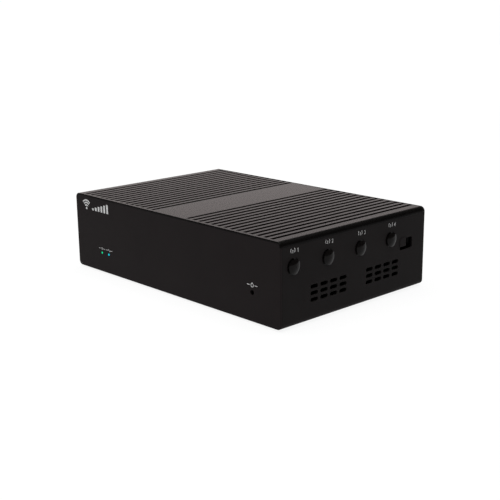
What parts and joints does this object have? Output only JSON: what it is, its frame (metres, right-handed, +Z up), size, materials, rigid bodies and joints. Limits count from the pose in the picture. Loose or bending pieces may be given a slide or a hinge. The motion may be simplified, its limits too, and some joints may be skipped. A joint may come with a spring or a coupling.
{
  "type": "wifi range extender",
  "caption": "Fanless wifi extender in a low black box with a finned metal lid, blanked antenna ports, side vents, front lights and a pinhole reset.",
  "frame": {"origin": "centre of the footprint, on the surface that the rubber feet stand on", "axes": "+Z up, +Y from the front panel to the rear panel, +X to the right seen from the front"},
  "size_m": [0.1805, 0.116, 0.0467],
  "materials": {
    "cover_coat": "satin black coat on a cast aluminium lid",
    "tray_paint": "fine textured black powder coat",
    "panel_plastic": "fine matt black moulding",
    "rear_paint": "fine textured black powder coat",
    "foot_rubber": "matt",
    "plug_plastic": "satin",
    "power_light": "lit light guide",
    "status_light": "lit light guide",
    "lamp_body": "white",
    "board_green": "solder mask",
    "chip_black": "moulded epoxy",
    "zinc_steel": "zinc plated",
    "black_steel": "black oxide",
    "tin_steel": "tin plated",
    "block_aluminium": "machined",
    "pad_grey": "soft gap filler",
    "gold_contact": "gold flash",
    "port_black": "matt",
    "film_clear": "amber insulating film",
    "label_silver": "blank matt label",
    "ferrite": "moulded coil",
    "can_sleeve": "drawn aluminium can",
    "clock_metal": "drawn can",
    "marking_ink": null
  },
  "bodies": {
    "case": {"top_cover": "cover_coat", "base_tray": "tray_paint", "front_panel": "panel_plastic", "rear_panel": "rear_paint", "rubber_foot_front_left": "foot_rubber", "rubber_foot_front_right": "foot_rubber", "rubber_foot_rear_left": "foot_rubber", "rubber_foot_rear_right": "foot_rubber", "power_light_pipe": "power_light", "status_light_pipe": "status_light", "power_lamp": "lamp_body", "status_lamp": "lamp_body", "reset_switch": "chip_black", "main_board": "board_green", "board_standoffs": "zinc_steel", "board_screws": "black_steel", "insulating_film": "film_clear", "processor": "chip_black", "thermal_pad": "pad_grey", "heat_block": "block_aluminium", "heat_block_screws": "zinc_steel", "memory_chip_1": "chip_black", "memory_chip_2": "chip_black", "flash_chip": "chip_black", "clock_crystal": "clock_metal", "power_controller": "chip_black", "lan_transformer_1": "chip_black", "lan_transformer_2": "chip_black", "bulk_capacitors": "can_sleeve", "power_inductors": "ferrite", "radio_shield": "tin_steel", "radio_chip": "chip_black", "antenna_receptacles": "gold_contact", "board_antenna_1": "gold_contact", "board_antenna_2": "gold_contact", "board_antenna_3": "gold_contact", "board_antenna_4": "gold_contact", "lan_port_1_shell": "tin_steel", "lan_port_2_shell": "tin_steel", "lan_port_1_core": "port_black", "lan_port_2_core": "port_black", "lan_port_1_contacts": "gold_contact", "lan_port_2_contacts": "gold_contact", "usb_port_shell": "tin_steel", "usb_port_tongue": "port_black", "power_inlet_body": "port_black", "power_inlet_pin": "tin_steel", "cover_screws": "black_steel", "front_panel_screws": "black_steel", "rear_panel_screws": "black_steel", "rating_label": "label_silver"},
    "reset_key": {"reset_plunger": "port_black"},
    "plug_1": {"antenna_plug_1": "plug_plastic"},
    "plug_2": {"antenna_plug_2": "plug_plastic"},
    "plug_3": {"antenna_plug_3": "plug_plastic"},
    "plug_4": {"antenna_plug_4": "plug_plastic"}
  },
  "joints": [
    {"name": "reset_press", "type": "slide", "parent": "case", "child": "reset_key", "axis": [0, 1, 0], "range_m": [0, 0.0003], "stiffness_N_per_m": 4000, "springref_m": -0.0001},
    {"name": "plug_1_pull", "type": "slide", "parent": "case", "child": "plug_1", "axis": [1, 0, 0], "range_m": [0, 0.012]},
    {"name": "plug_2_pull", "type": "slide", "parent": "case", "child": "plug_2", "axis": [1, 0, 0], "range_m": [0, 0.012]},
    {"name": "plug_3_pull", "type": "slide", "parent": "case", "child": "plug_3", "axis": [1, 0, 0], "range_m": [0, 0.012]},
    {"name": "plug_4_pull", "type": "slide", "parent": "case", "child": "plug_4", "axis": [1, 0, 0], "range_m": [0, 0.012]}
  ]
}
